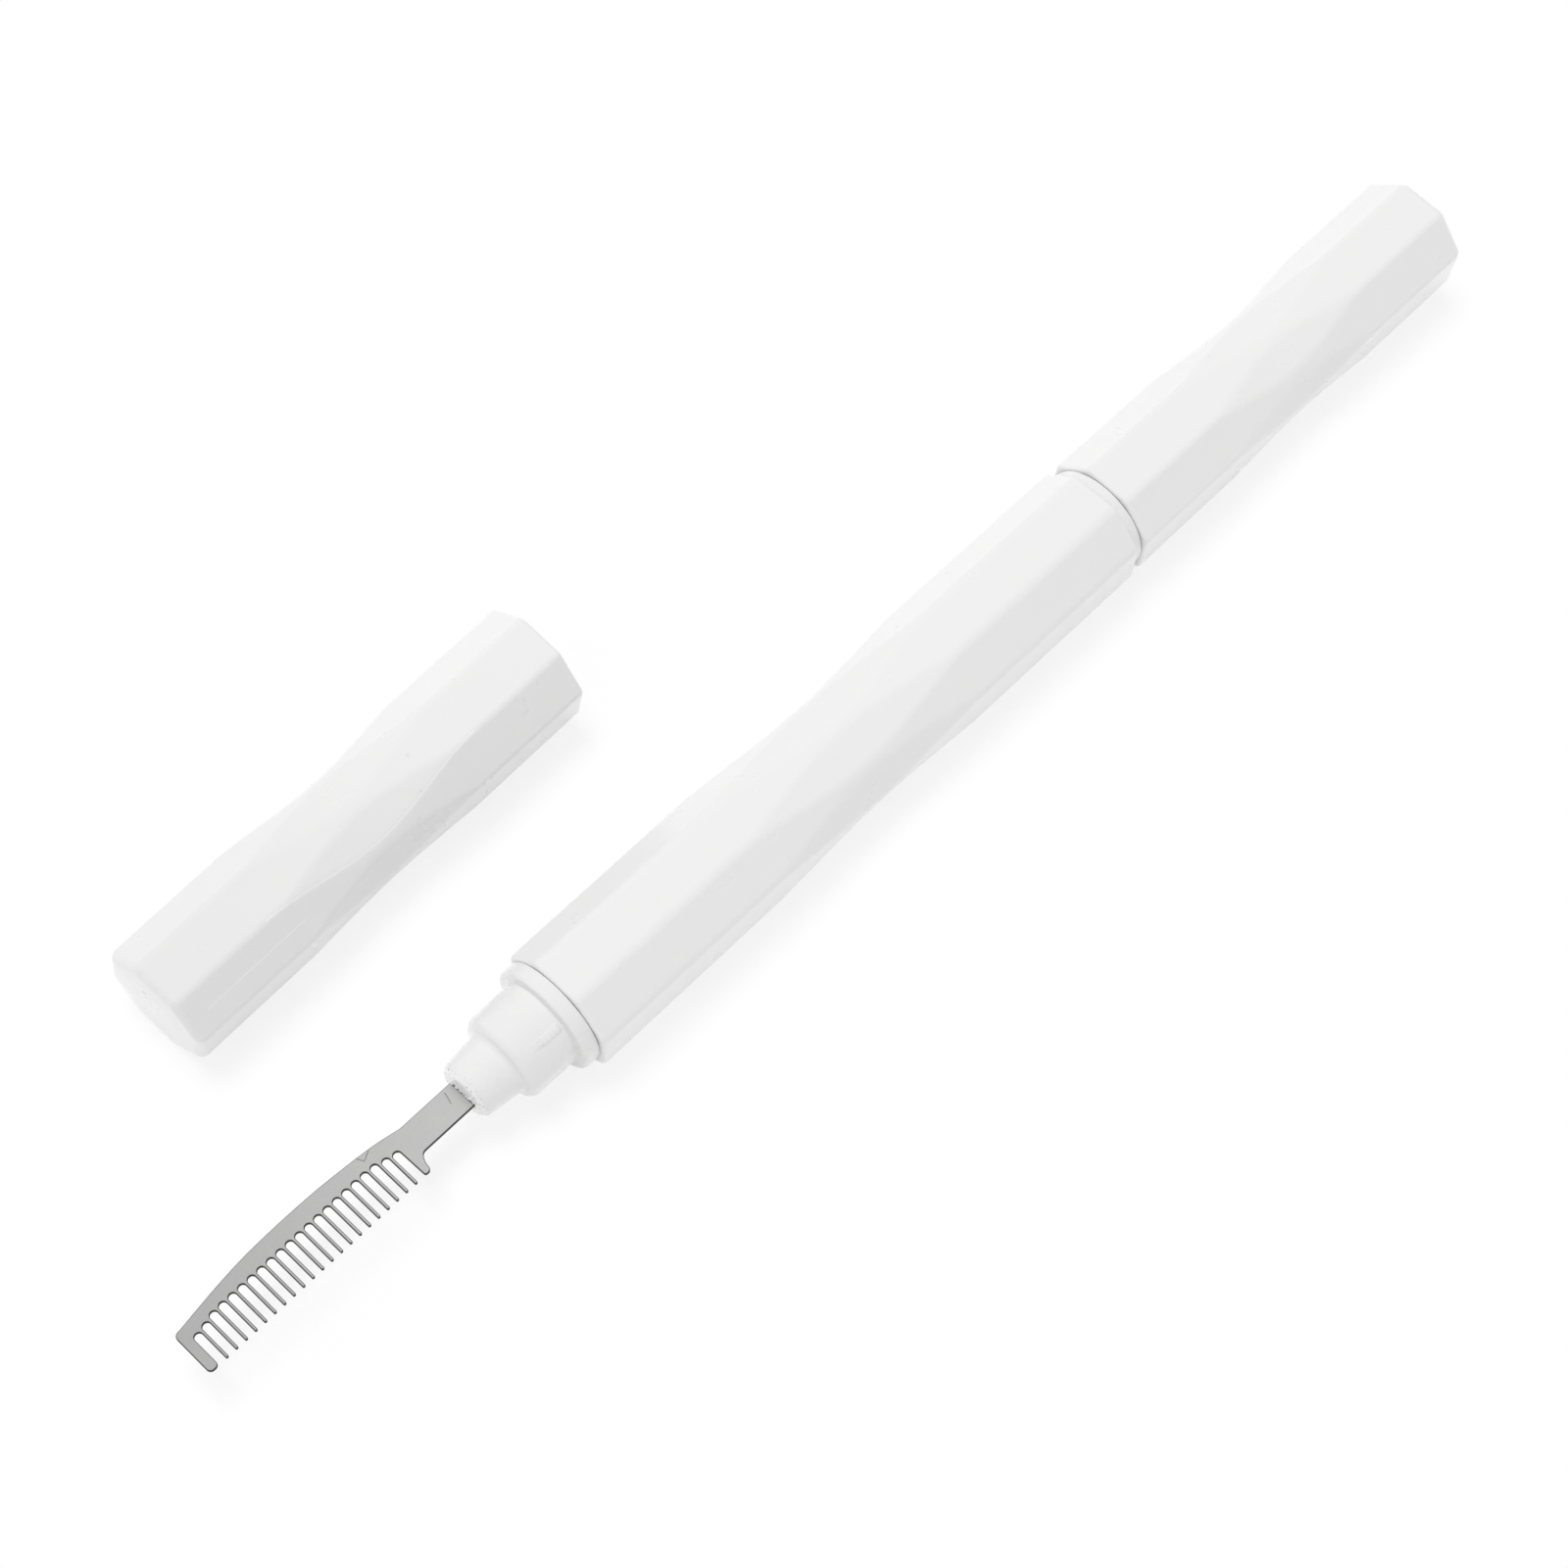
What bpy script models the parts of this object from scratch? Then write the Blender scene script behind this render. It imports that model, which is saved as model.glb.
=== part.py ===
"""Double-ended eyebrow brush: a pen-shaped barrel with a steel comb at one end, a round brush at the other
and a cap for each. The pen lies along X with the comb towards -X; its own cap lies beside it on the table."""
import math

import bmesh
import bpy
from mathutils import Vector

MM = 0.001
CLEARANCE = 0.3 * MM            # between pieces that touch or are pressed together
SLIDE_CLEARANCE = 0.12 * MM     # between the snap nubs and a cap's bore
ROUND_STEPS = 32                # facets round a turned piece
CUT_OVERRUN = 1.0 * MM          # how far a cutter stands out of what it cuts
SMOOTH_ANGLE = math.radians(30)

# Octagonal sections: circumradius, and the edge taken off each corner
CORNERS = 8
EDGE_CUT = 0.12 * MM
BARREL_RADIUS = 6.0 * MM
BARREL_LENGTH = 66.0 * MM
BARREL_SCALLOP_DEPTH = 0.72 * MM
BARREL_SCALLOP_HALF = 16.5 * MM
BARREL_RIM = 0.4 * MM
CAP_RADIUS = 5.86 * MM
CAP_LENGTH = 44.9 * MM
CAP_SCALLOP_DEPTH = 0.56 * MM
CAP_SCALLOP_HALF = 12.5 * MM
CAP_RIM = 0.85 * MM
CAP_DOME = 0.15 * MM
CAP_MOUTH_RIM = 0.3 * MM
CAP_MOUTH_CHAMFER = 0.25 * MM
CAP_END_WALL = 1.6 * MM
SCALLOP_STEPS = 16
RIM_STEPS = 3

# Collars, measured outwards from the barrel's end face
SPIGOT_RADIUS = 4.2 * MM
SPIGOT_LENGTH = 9.0 * MM
SPIGOT_CHAMFER = 0.5 * MM
FLANGE_RADIUS = 5.25 * MM
FLANGE_ROUND = 0.25 * MM
COMB_FLANGE = 1.2 * MM
BRUSH_FLANGE = 0.5 * MM
NECK_RADIUS = 4.2 * MM
SHOULDER_AT = 6.5 * MM
SHOULDER_ROUND = 1.0 * MM
NOSE_BASE_RADIUS = 3.12 * MM
NOSE_TIP_RADIUS = 2.7 * MM
NOSE_AT = 10.5 * MM
NOSE_ROUND = 0.65 * MM
POCKET_FLOOR = 1.0 * MM         # where the slot or hole in the nose ends
NUB_COUNT = 4
NUB_TURN = math.radians(-35)    # from the comb's upper face
NUB_AT = 2.8 * MM
NUB_LENGTH = 1.8 * MM
NUB_WIDTH = 0.8 * MM
NUB_HEIGHT = 0.18 * MM

# Comb: x outwards from the barrel's end face, y towards the tips of the teeth, lying level
COMB_THICKNESS = 0.4 * MM
SHANK_HALF = 1.4 * MM
SHANK_END = 16.1 * MM
TEETH_TIP = 2.95 * MM
SLOT_COUNT = 22
FIRST_SLOT_GAP = 1.72 * MM      # from the shank's end to the middle of the first slot
SLOT_PITCH = 1.003 * MM
SLOT_WIDTH = 0.74 * MM
SLOT_TOP = -0.75 * MM
SLOT_TOP_STEPS = 4
END_SLOTS_SHORTER = (0.54 * MM, 0.34 * MM, 0.06 * MM)
HEEL_TIP_WIDTH = 0.55 * MM
END_TOOTH_WIDTH = 0.95 * MM
SPINE = ((0.13, -1.92 * MM), (0.37, -2.33 * MM), (0.62, -2.32 * MM), (0.79, -2.0 * MM))
SPINE_END = -1.3 * MM           # the spine's points are at these parts of the way from the shank to the end
SPINE_STEPS = 4
CORNER_ROUND = 0.4 * MM
CORNER_STEPS = 4

# Brush: x outwards from the barrel's end face
WIRE_RADIUS = 0.28 * MM
WIRE_TURN = 3.0 * MM
WIRE_STEPS = 10                 # cross-sections in one turn
WIRE_SIDES = 8
STEM_VISIBLE = 6.0 * MM
BRUSH_END_ROOM = 2.4 * MM       # from the brush's tip to the end of its cap's bore
BRUSH_CORE_RADIUS = 0.6 * MM
BRUSH_RADIUS = 3.4 * MM
BRUSH_TIP_RADIUS = 1.7 * MM
BRUSH_ROWS = 80
BRUSH_COLUMNS = 12
BRUSH_EVERY = 3                 # one face in this many carries a strand
STRAND_TAPER = 0.5
CORE_TIP = 0.5 * MM

# Where the pieces lie
BRUSH_CAP_ROLL = math.radians(3)
LOOSE_CAP_X = -23.1 * MM        # the closed end's middle, from the barrel's near end face
LOOSE_CAP_Y = 23.4 * MM         # from the pen's axis
LOOSE_CAP_YAW = math.radians(1.72)
LOOSE_CAP_ROLL = math.radians(-7.5)

WHITE = (0.86, 0.86, 0.86)
STEEL = (0.56, 0.56, 0.56)
NYLON = (0.03, 0.03, 0.035)
WIRE = (0.6, 0.6, 0.6)


def material(name, colour, roughness, metallic=0.0):
    made = bpy.data.materials.new(name)
    made.use_nodes = True
    shader = made.node_tree.nodes["Principled BSDF"]
    shader.inputs["Base Color"].default_value = (*colour, 1.0)
    shader.inputs["Roughness"].default_value = roughness
    shader.inputs["Metallic"].default_value = metallic
    return made


def finish(bm, name, paint, parent=None):
    """Turns a bmesh into a named object with outward faces, which shade smoothly over blunt edges."""
    bmesh.ops.recalc_face_normals(bm, faces=bm.faces)
    mesh = bpy.data.meshes.new(name)
    bm.to_mesh(mesh)
    bm.free()
    mesh.shade_smooth()
    mesh.set_sharp_from_angle(angle=SMOOTH_ANGLE)
    made = bpy.data.objects.new(name, mesh)
    bpy.context.collection.objects.link(made)
    if paint:
        mesh.materials.append(paint)
    made.parent = parent
    return made


def empty(name, location=(0, 0, 0), rotation=(0, 0, 0), parent=None):
    made = bpy.data.objects.new(name, None)
    bpy.context.collection.objects.link(made)
    made.location = location
    made.rotation_euler = rotation
    made.parent = parent
    return made


def cut(target, cutter, operation="DIFFERENCE"):
    cutter.hide_render = True
    cutter.display_type = "WIRE"
    boolean = target.modifiers.new(cutter.name, "BOOLEAN")
    boolean.operation = operation
    boolean.object = cutter


def arc(centre, radius, start, end, steps):
    """Points of an arc in the XR plane, from start to end degrees, both ends included."""
    points = []
    for step in range(steps + 1):
        angle = math.radians(start + (end - start) * step / steps)
        points.append((centre[0] + radius * math.cos(angle), centre[1] + radius * math.sin(angle)))
    return points


def octagon_points(radius, corner_cut):
    """An octagon with a flat below and its corners cut off, as (y, z) pairs."""
    points = []
    half = corner_cut * math.tan(math.radians(90 - 180 / CORNERS))
    for corner in range(CORNERS):
        angle = 2 * math.pi * (corner + 0.5) / CORNERS
        out = Vector((math.sin(angle), math.cos(angle)))
        side = Vector((math.cos(angle), -math.sin(angle)))
        points.append((radius - corner_cut) * out - half * side)
        points.append((radius - corner_cut) * out + half * side)
    return points


def lowest(radius, roll):
    """How far an octagonal section turned by roll reaches below its axis."""
    corners = octagon_points(radius, EDGE_CUT)
    return max(corner.y * math.cos(roll) + corner.x * math.sin(roll) for corner in corners)


def scallop(x, middle, half, depth):
    """How much is taken off each corner at x."""
    across = min(abs(x - middle) / half, 1)
    return max(EDGE_CUT, depth * math.cos(across * math.pi / 2) ** 2)


def octagonal_section(length, radius, depth, half, start_rim, end_rim, dome):
    """A solid octagonal bar along X with scalloped edges and rounded rims."""
    stations = []
    inset = 1 / math.cos(math.pi / CORNERS)
    for x, shrink in arc((start_rim, start_rim), start_rim, 180, 270, RIM_STEPS):
        stations.append((x, radius - shrink * inset, EDGE_CUT))
    for step in range(SCALLOP_STEPS + 1):
        x = length / 2 + half * (2 * step / SCALLOP_STEPS - 1)
        stations.append((x, radius, scallop(x, length / 2, half, depth)))
    for x, shrink in arc((length - end_rim, end_rim), end_rim, 270, 360, RIM_STEPS):
        stations.append((x, radius - shrink * inset, EDGE_CUT))
    bm = bmesh.new()
    previous = None
    for x, ring_radius, corner_cut in stations:
        ring = [bm.verts.new((x, *point)) for point in octagon_points(ring_radius, corner_cut)]
        if previous:
            for index in range(len(ring)):
                following = (index + 1) % len(ring)
                bm.faces.new((previous[index], previous[following], ring[following], ring[index]))
        else:
            bm.faces.new(ring)
        previous = ring
    if dome:
        tip = bm.verts.new((length + dome, 0, 0))
        for index in range(len(previous)):
            bm.faces.new((previous[index], previous[(index + 1) % len(previous)], tip))
    else:
        bm.faces.new(previous)
    return bm


def turned(profile):
    """Turns (x, radius) points, which start and end on the axis, round the X axis."""
    bm = bmesh.new()
    verts = [bm.verts.new((x, 0, radius)) for x, radius in profile]
    edges = [bm.edges.new(pair) for pair in zip(verts, verts[1:])]
    bmesh.ops.spin(bm, geom=verts + edges, cent=(0, 0, 0), axis=(1, 0, 0), angle=2 * math.pi,
                   steps=ROUND_STEPS, use_merge=True)
    bmesh.ops.remove_doubles(bm, verts=bm.verts, dist=0.001 * MM)
    return bm


def box(x0, x1, half_y, half_z):
    bm = bmesh.new()
    bmesh.ops.create_cube(bm, size=1)
    bmesh.ops.scale(bm, vec=(x1 - x0, 2 * half_y, 2 * half_z), verts=bm.verts)
    bmesh.ops.translate(bm, vec=((x0 + x1) / 2, 0, 0), verts=bm.verts)
    return bm


def cap_bore_radius():
    return NECK_RADIUS + NUB_HEIGHT + SLIDE_CLEARANCE


def brush_cap_mouth():
    """How far the brush cap's mouth is from the barrel's end face."""
    return CLEARANCE + BRUSH_FLANGE + CLEARANCE


def make_cap(name, parent, paint):
    """A closed cap with its mouth at its origin, reaching along +X."""
    bm = octagonal_section(CAP_LENGTH - CAP_DOME, CAP_RADIUS, CAP_SCALLOP_DEPTH, CAP_SCALLOP_HALF,
                           CAP_MOUTH_RIM, CAP_RIM, CAP_DOME)
    cap = finish(bm, name, paint, parent)
    bore = cap_bore_radius()
    mouth = bore + CAP_MOUTH_CHAMFER
    profile = [(-CUT_OVERRUN, 0), (-CUT_OVERRUN, mouth), (0, mouth), (CAP_MOUTH_CHAMFER, bore),
               (CAP_LENGTH - CAP_END_WALL, bore), (CAP_LENGTH - CAP_END_WALL, 0)]
    cut(cap, finish(turned(profile), name + "_bore", None, cap))
    return cap


def make_barrel(parent, paint):
    bm = octagonal_section(BARREL_LENGTH, BARREL_RADIUS, BARREL_SCALLOP_DEPTH, BARREL_SCALLOP_HALF,
                           BARREL_RIM, BARREL_RIM, 0)
    barrel = finish(bm, "barrel", paint, parent)
    bore = SPIGOT_RADIUS + CLEARANCE
    profile = [(-CUT_OVERRUN, 0), (-CUT_OVERRUN, bore), (BARREL_LENGTH + CUT_OVERRUN, bore),
               (BARREL_LENGTH + CUT_OVERRUN, 0)]
    cut(barrel, finish(turned(profile), "barrel_bore", None, barrel))
    return barrel


def make_collar(name, parent, paint, flange, pocket):
    """A plug with a spigot, a flange, a neck with snap nubs and a nose, facing +X from the barrel's face."""
    back = CLEARANCE
    front = back + flange
    profile = [(-SPIGOT_LENGTH, 0), (-SPIGOT_LENGTH, SPIGOT_RADIUS - SPIGOT_CHAMFER),
               (SPIGOT_CHAMFER - SPIGOT_LENGTH, SPIGOT_RADIUS), (back, SPIGOT_RADIUS)]
    rounding = min(FLANGE_ROUND, flange / 2)
    profile += arc((back + rounding, FLANGE_RADIUS - rounding), rounding, 180, 90, 2)
    profile += arc((front - rounding, FLANGE_RADIUS - rounding), rounding, 90, 0, 2)
    profile.append((front, NECK_RADIUS))
    profile += arc((SHOULDER_AT - SHOULDER_ROUND, NECK_RADIUS - SHOULDER_ROUND), SHOULDER_ROUND, 90, 0, 5)
    profile.append((SHOULDER_AT, NOSE_BASE_RADIUS))
    profile += arc((NOSE_AT - NOSE_ROUND, NOSE_TIP_RADIUS - NOSE_ROUND), NOSE_ROUND, 90, 0, 4)
    profile.append((NOSE_AT, 0))
    collar = finish(turned(profile), name, paint, parent)
    for index in range(NUB_COUNT):
        bm = bmesh.new()
        bmesh.ops.create_icosphere(bm, subdivisions=2, radius=1)
        bmesh.ops.scale(bm, vec=(NUB_LENGTH / 2, NUB_WIDTH / 2, 2 * NUB_HEIGHT), verts=bm.verts)
        bmesh.ops.translate(bm, vec=(NUB_AT, 0, NECK_RADIUS - NUB_HEIGHT), verts=bm.verts)
        nub = finish(bm, f"{name}_nub_{index}", None, collar)
        nub.rotation_euler.x = NUB_TURN + 2 * math.pi * index / NUB_COUNT
        cut(collar, nub, "UNION")
    pocket.name = name + "_pocket"
    pocket.parent = collar
    cut(collar, pocket)
    return collar


def spine_points():
    """The comb's back edge from the shank to the end, on a smooth curve through its named points."""
    end = comb_end() - CORNER_ROUND
    knots = [Vector((SHANK_END, -SHANK_HALF))]
    knots += [Vector((SHANK_END + (end - SHANK_END) * part, y)) for part, y in SPINE]
    knots.append(Vector((end, SPINE_END)))
    points = []
    for index in range(len(knots) - 1):
        before = knots[max(index - 1, 0)]
        after = knots[min(index + 2, len(knots) - 1)]
        for step in range(SPINE_STEPS):
            t = step / SPINE_STEPS
            leave = (knots[index + 1] - before) / 2
            arrive = (after - knots[index]) / 2
            point = knots[index] * (2 * t ** 3 - 3 * t ** 2 + 1) + leave * (t ** 3 - 2 * t ** 2 + t)
            point += knots[index + 1] * (3 * t ** 2 - 2 * t ** 3) + arrive * (t ** 3 - t ** 2)
            points.append((point.x, point.y))
    return points


def first_slot():
    return SHANK_END + FIRST_SLOT_GAP


def comb_end():
    return first_slot() + SLOT_PITCH * (SLOT_COUNT - 1) + SLOT_WIDTH / 2 + END_TOOTH_WIDTH


def slot_top(index):
    """The first slots and the last ones are a little shorter than the rest."""
    from_end = min(index, SLOT_COUNT - 1 - index)
    if from_end < len(END_SLOTS_SHORTER):
        return SLOT_TOP + END_SLOTS_SHORTER[from_end]
    return SLOT_TOP


def comb_outline():
    tang = POCKET_FLOOR + CLEARANCE
    outline = [(tang, SHANK_HALF), (tang, -SHANK_HALF)]
    outline += spine_points()
    end = comb_end() - CORNER_ROUND
    outline += arc((end, SPINE_END + CORNER_ROUND), CORNER_ROUND, 270, 360, CORNER_STEPS)
    outline += arc((end, TEETH_TIP - CORNER_ROUND), CORNER_ROUND, 0, 90, CORNER_STEPS)
    for index in reversed(range(SLOT_COUNT)):
        middle = first_slot() + SLOT_PITCH * index
        half = SLOT_WIDTH / 2
        outline.append((middle + half, TEETH_TIP))
        outline += arc((middle, slot_top(index) + half), half, 360, 180, SLOT_TOP_STEPS)
        outline.append((middle - half, TEETH_TIP))
    heel = first_slot() - SLOT_WIDTH / 2
    outline.append((heel - HEEL_TIP_WIDTH + HEEL_TIP_WIDTH / 3, TEETH_TIP))
    outline.append((heel - HEEL_TIP_WIDTH, TEETH_TIP - HEEL_TIP_WIDTH / 3))
    outline.append((SHANK_END, SHANK_HALF))
    return outline


def make_comb(parent, paint):
    bm = bmesh.new()
    face = bm.faces.new([bm.verts.new((x, y, -COMB_THICKNESS / 2)) for x, y in comb_outline()])
    raised = bmesh.ops.extrude_face_region(bm, geom=[face])
    top = [item for item in raised["geom"] if isinstance(item, bmesh.types.BMVert)]
    bmesh.ops.translate(bm, vec=(0, 0, COMB_THICKNESS), verts=top)
    return finish(bm, "comb", paint, parent)


def make_stem(parent, paint):
    """Two wires twisted together, from inside the collar to the brush."""
    start = POCKET_FLOOR + CLEARANCE
    end = NOSE_AT + STEM_VISIBLE - CLEARANCE
    steps = round((end - start) / WIRE_TURN * WIRE_STEPS)
    bm = bmesh.new()
    previous = None
    for step in range(steps + 1):
        twist = 2 * math.pi * step / WIRE_STEPS
        ring = []
        for side in range(WIRE_SIDES):
            angle = 2 * math.pi * side / WIRE_SIDES
            across = Vector((2 * WIRE_RADIUS * math.cos(angle), 1.2 * WIRE_RADIUS * math.sin(angle)))
            turned_y = across.x * math.cos(twist) - across.y * math.sin(twist)
            turned_z = across.x * math.sin(twist) + across.y * math.cos(twist)
            ring.append(bm.verts.new((start + (end - start) * step / steps, turned_y, turned_z)))
        if previous:
            for side in range(WIRE_SIDES):
                following = (side + 1) % WIRE_SIDES
                bm.faces.new((previous[side], previous[following], ring[following], ring[side]))
        else:
            bm.faces.new(ring)
        previous = ring
    bm.faces.new(previous)
    return finish(bm, "brush_stem", paint, parent)


def brush_radius(along):
    """The brush's radius, where along goes from 0 at the stem to 1 at the tip."""
    if along < 0.12:
        return BRUSH_RADIUS * (0.8 + 0.2 * along / 0.12)
    narrowing = math.cos(math.pi / 2 * (along - 0.12) / 0.88) ** 0.8
    return BRUSH_TIP_RADIUS + (BRUSH_RADIUS - BRUSH_TIP_RADIUS) * narrowing


def make_brush_head(parent, paint):
    """The twisted core with one strand of filament on every third face, in a spiral."""
    start = NOSE_AT + STEM_VISIBLE
    length = brush_cap_mouth() + CAP_LENGTH - CAP_END_WALL - BRUSH_END_ROOM - CORE_TIP - start
    row = length / BRUSH_ROWS
    bm = bmesh.new()
    rings = []
    for index in range(BRUSH_ROWS + 1):
        ring = []
        for column in range(BRUSH_COLUMNS):
            angle = 2 * math.pi * column / BRUSH_COLUMNS
            ring.append(bm.verts.new((start + row * index, BRUSH_CORE_RADIUS * math.sin(angle),
                                      BRUSH_CORE_RADIUS * math.cos(angle))))
        rings.append(ring)
    bm.faces.new(rings[0])
    carriers = []
    for index in range(BRUSH_ROWS):
        for column in range(BRUSH_COLUMNS):
            following = (column + 1) % BRUSH_COLUMNS
            face = bm.faces.new((rings[index][column], rings[index][following],
                                 rings[index + 1][following], rings[index + 1][column]))
            if (index + column) % BRUSH_EVERY == 0:
                carriers.append(face)
    tip = bm.verts.new((start + length + CORE_TIP, 0, 0))
    for column in range(BRUSH_COLUMNS):
        bm.faces.new((rings[-1][column], rings[-1][(column + 1) % BRUSH_COLUMNS], tip))
    bmesh.ops.recalc_face_normals(bm, faces=bm.faces)
    for face in bmesh.ops.extrude_discrete_faces(bm, faces=carriers)["faces"]:
        middle = face.calc_center_median()
        outwards = Vector((0, middle.y, middle.z)).normalized()
        reach = brush_radius((middle.x - start) / length) - BRUSH_CORE_RADIUS
        for vert in face.verts:
            vert.co = middle + (vert.co - middle) * STRAND_TAPER + outwards * reach
    return finish(bm, "brush_head", paint, parent)


def stand_on_floor(stand):
    """Moves the whole object so that its box stands centred on the origin."""
    bpy.context.view_layer.update()
    corners = [thing.matrix_world @ vert.co for thing in bpy.data.objects
               if thing.type == "MESH" and not thing.hide_render for vert in thing.data.vertices]
    low = [min(corner[axis] for corner in corners) for axis in range(3)]
    high = [max(corner[axis] for corner in corners) for axis in range(3)]
    stand.location = (-(low[0] + high[0]) / 2, -(low[1] + high[1]) / 2, -low[2])


def main():
    for thing in list(bpy.data.objects):
        bpy.data.objects.remove(thing, do_unlink=True)
    stand = empty("stand")
    pen = empty("pen", (0, 0, lowest(BARREL_RADIUS, 0)), parent=stand)
    near_end = empty("comb_end", rotation=(0, 0, math.pi), parent=pen)
    far_end = empty("brush_end", (BARREL_LENGTH, 0, 0), parent=pen)

    make_barrel(pen, material("barrel_plastic", WHITE, 0.25))
    slot = box(POCKET_FLOOR, NOSE_AT + CUT_OVERRUN, SHANK_HALF + CLEARANCE, COMB_THICKNESS / 2 + CLEARANCE)
    make_collar("comb_collar", near_end, material("comb_collar_plastic", WHITE, 0.3), COMB_FLANGE,
                finish(slot, "slot", None))
    hole_radius = 2 * WIRE_RADIUS + CLEARANCE
    hole = turned([(POCKET_FLOOR, 0), (POCKET_FLOOR, hole_radius), (NOSE_AT + CUT_OVERRUN, hole_radius),
                   (NOSE_AT + CUT_OVERRUN, 0)])
    make_collar("brush_collar", far_end, material("brush_collar_plastic", WHITE, 0.3), BRUSH_FLANGE,
                finish(hole, "hole", None))
    make_comb(near_end, material("comb_steel", STEEL, 0.35, 1.0))
    make_stem(far_end, material("stem_wire", WIRE, 0.3, 1.0))
    make_brush_head(far_end, material("brush_nylon", NYLON, 0.5))

    brush_cap = make_cap("brush_cap", pen, material("brush_cap_plastic", WHITE, 0.25))
    brush_cap.location.x = BARREL_LENGTH + brush_cap_mouth()
    brush_cap.rotation_euler.x = BRUSH_CAP_ROLL
    comb_cap = make_cap("comb_cap", stand, material("comb_cap_plastic", WHITE, 0.25))
    mouth_x = LOOSE_CAP_X + CAP_LENGTH * math.cos(LOOSE_CAP_YAW)
    mouth_y = LOOSE_CAP_Y + CAP_LENGTH * math.sin(LOOSE_CAP_YAW)
    comb_cap.location = (mouth_x, mouth_y, lowest(CAP_RADIUS, LOOSE_CAP_ROLL))
    comb_cap.rotation_euler = (LOOSE_CAP_ROLL, 0, math.pi + LOOSE_CAP_YAW)
    stand_on_floor(stand)


main()
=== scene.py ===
import math
import random

import bmesh
import bpy
from mathutils import Matrix, Vector


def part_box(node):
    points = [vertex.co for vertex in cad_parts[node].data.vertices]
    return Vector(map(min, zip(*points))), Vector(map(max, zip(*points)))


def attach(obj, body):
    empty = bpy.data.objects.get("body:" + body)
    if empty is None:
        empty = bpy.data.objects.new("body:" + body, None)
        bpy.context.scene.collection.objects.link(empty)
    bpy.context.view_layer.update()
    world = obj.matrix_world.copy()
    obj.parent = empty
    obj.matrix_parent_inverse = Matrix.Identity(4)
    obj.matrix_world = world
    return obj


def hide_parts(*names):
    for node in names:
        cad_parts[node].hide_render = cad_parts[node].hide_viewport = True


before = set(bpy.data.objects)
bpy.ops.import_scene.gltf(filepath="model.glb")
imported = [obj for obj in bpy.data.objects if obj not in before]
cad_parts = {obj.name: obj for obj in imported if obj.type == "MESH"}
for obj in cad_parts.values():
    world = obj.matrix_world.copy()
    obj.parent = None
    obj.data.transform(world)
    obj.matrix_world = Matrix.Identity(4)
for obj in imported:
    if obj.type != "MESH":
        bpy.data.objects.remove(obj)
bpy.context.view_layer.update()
mm = 0.001
scene = bpy.context.scene
halfFlat = math.radians(22.5)      # half the angle that a flat of the octagon takes up
halfCorner = math.radians(67.5)    # half the angle between two flats


# Materials' tools: a Signal is one socket of a Paint, and Python's operators add Math nodes to it

class Signal:
    def __init__(self, paint, socket):
        self.paint = paint
        self.socket = socket

    def __add__(self, other):
        return self.paint.maths("ADD", self, other)

    def __sub__(self, other):
        return self.paint.maths("SUBTRACT", self, other)

    def __rsub__(self, other):
        return self.paint.maths("SUBTRACT", other, self)

    def __mul__(self, other):
        return self.paint.maths("MULTIPLY", self, other)

    def __truediv__(self, other):
        return self.paint.maths("DIVIDE", self, other)

    def __pow__(self, other):
        return self.paint.maths("POWER", self, other)

    def __lt__(self, other):
        return self.paint.maths("LESS_THAN", self, other)

    def __gt__(self, other):
        return self.paint.maths("GREATER_THAN", self, other)

    def __abs__(self):
        return self.paint.maths("ABSOLUTE", self)

    __radd__ = __add__


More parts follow.
